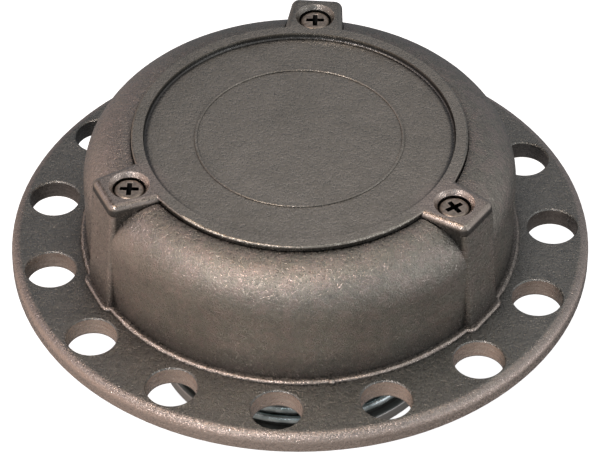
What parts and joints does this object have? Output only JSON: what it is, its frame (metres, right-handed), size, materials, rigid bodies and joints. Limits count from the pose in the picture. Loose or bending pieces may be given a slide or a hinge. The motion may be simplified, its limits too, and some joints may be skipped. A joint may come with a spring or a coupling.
{
  "type": "flanged valve bonnet",
  "caption": "Round cast flange bonnet that closes a bolted opening, with a screwed top cover and an air-lifted, spring-closed poppet hung under it.",
  "frame": {"origin": "centre of the bolt circle on the mounting face under the flange", "axes": "+Z along the stem towards the top cover; +Y through the cover lug at the air port"},
  "size_m": [0.2032, 0.2032, 0.1029],
  "materials": {
    "cast_aluminium": "as-cast, tumbled to a fine matt grain",
    "turned_aluminium": "turned",
    "screw_steel": "dull plated",
    "zinc_steel": "zinc plated",
    "zinc_spring": "bright zinc plated wire",
    "spring_steel": "phosphated",
    "stainless": "ground",
    "bronze": "sintered",
    "rubber": "moulded",
    "seal_rubber": "moulded, matt",
    "guide_plastic": "filled PTFE"
  },
  "bodies": {
    "valve_body": {"flange_housing": "cast_aluminium", "top_cover": "cast_aluminium", "cover_screws": "screw_steel", "cover_o_ring": "rubber", "breather_plug": "bronze", "stem_bush": "bronze", "stem_wiper": "rubber", "stem_seal": "rubber", "stem_seal_washer": "zinc_steel", "seal_circlip": "spring_steel", "spring_seat_ring": "zinc_steel", "return_spring": "zinc_spring"},
    "poppet": {"stem": "stainless", "piston": "turned_aluminium", "piston_seal": "rubber", "piston_wear_ring": "guide_plastic", "piston_o_ring": "rubber", "piston_washer": "zinc_steel", "piston_nut": "zinc_steel", "poppet_disc": "turned_aluminium", "poppet_o_ring": "rubber", "poppet_washer": "zinc_steel", "poppet_nut": "zinc_steel", "poppet_seal": "seal_rubber", "seal_clamp_plate": "stainless", "clamp_screws": "screw_steel"}
  },
  "joints": [
    {"name": "poppet_lift", "type": "slide", "parent": "valve_body", "child": "poppet", "axis": [0, 0, 1], "range_m": [0, 0.015], "stiffness_N_per_m": 4000, "springref_m": -0.02, "deforming": ["return_spring"]}
  ]
}
